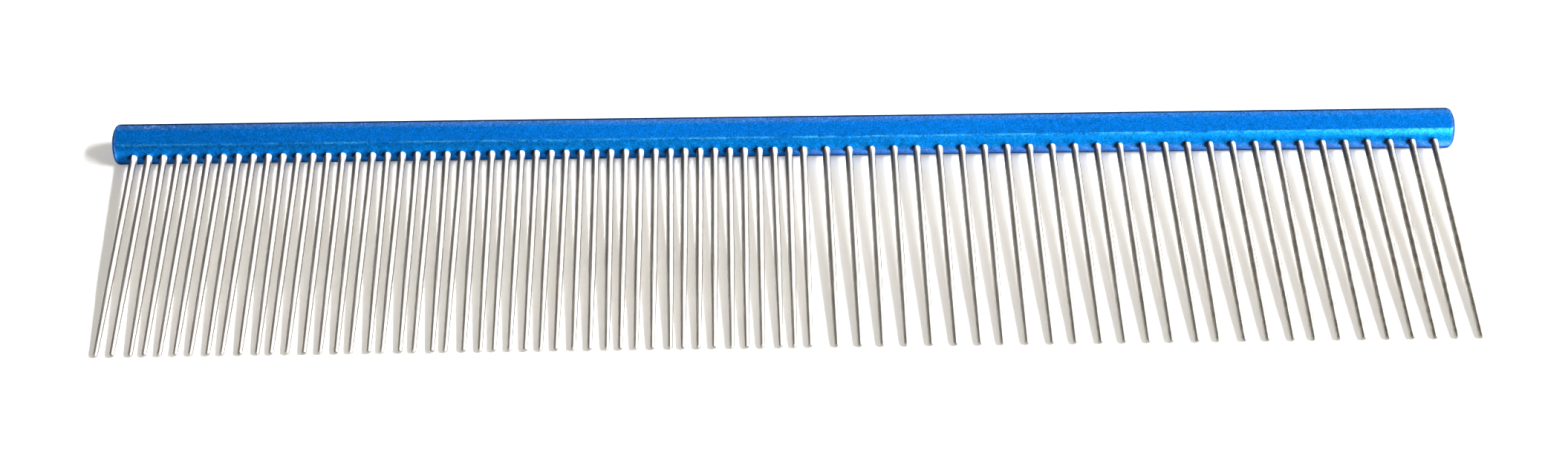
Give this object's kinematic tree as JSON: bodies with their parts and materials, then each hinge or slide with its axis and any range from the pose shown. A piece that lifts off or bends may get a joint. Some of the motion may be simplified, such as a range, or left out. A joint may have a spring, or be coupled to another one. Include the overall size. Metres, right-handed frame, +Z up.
{
  "type": "grooming comb",
  "caption": "Pet grooming comb: round steel teeth, close-set at one end and wide-set at the other, pressed into a blue anodised flat-sided spine.",
  "frame": {"origin": "centre of the footprint of the lying comb, on the table that it lies on", "axes": "+X along the spine from the fine teeth to the coarse teeth, +Y from the tips of the teeth towards the spine, +Z up from the table"},
  "size_m": [0.1908, 0.0442, 0.0039],
  "materials": {
    "spine": "satin blue anodised",
    "teeth": "polished"
  },
  "bodies": {
    "root": {"spine": "spine", "fine_teeth_01_02": "teeth", "fine_teeth_03_04": "teeth", "fine_teeth_05_06": "teeth", "fine_teeth_07_08": "teeth", "fine_teeth_09_10": "teeth", "fine_teeth_11_12": "teeth", "fine_teeth_13_14": "teeth", "fine_teeth_15_16": "teeth", "fine_teeth_17_18": "teeth", "fine_teeth_19_20": "teeth", "fine_teeth_21_22": "teeth", "fine_teeth_23_24": "teeth", "fine_teeth_25_26": "teeth", "fine_teeth_27_28": "teeth", "fine_teeth_29_30": "teeth", "fine_teeth_31_32": "teeth", "fine_teeth_33_34": "teeth", "fine_teeth_35_36": "teeth", "fine_teeth_37_38": "teeth", "fine_teeth_39_40": "teeth", "fine_teeth_41_42": "teeth", "fine_teeth_43_44": "teeth", "fine_teeth_45_46": "teeth", "coarse_tooth_01": "teeth", "coarse_tooth_02": "teeth", "coarse_tooth_03": "teeth", "coarse_tooth_04": "teeth", "coarse_tooth_05": "teeth", "coarse_tooth_06": "teeth", "coarse_tooth_07": "teeth", "coarse_tooth_08": "teeth", "coarse_tooth_09": "teeth", "coarse_tooth_10": "teeth", "coarse_tooth_11": "teeth", "coarse_tooth_12": "teeth", "coarse_tooth_13": "teeth", "coarse_tooth_14": "teeth", "coarse_tooth_15": "teeth", "coarse_tooth_16": "teeth", "coarse_tooth_17": "teeth", "coarse_tooth_18": "teeth", "coarse_tooth_19": "teeth", "coarse_tooth_20": "teeth", "coarse_tooth_21": "teeth", "coarse_tooth_22": "teeth", "coarse_tooth_23": "teeth", "coarse_tooth_24": "teeth", "coarse_tooth_25": "teeth", "coarse_tooth_26": "teeth", "coarse_tooth_27": "teeth", "coarse_tooth_28": "teeth"}
  },
  "joints": []
}
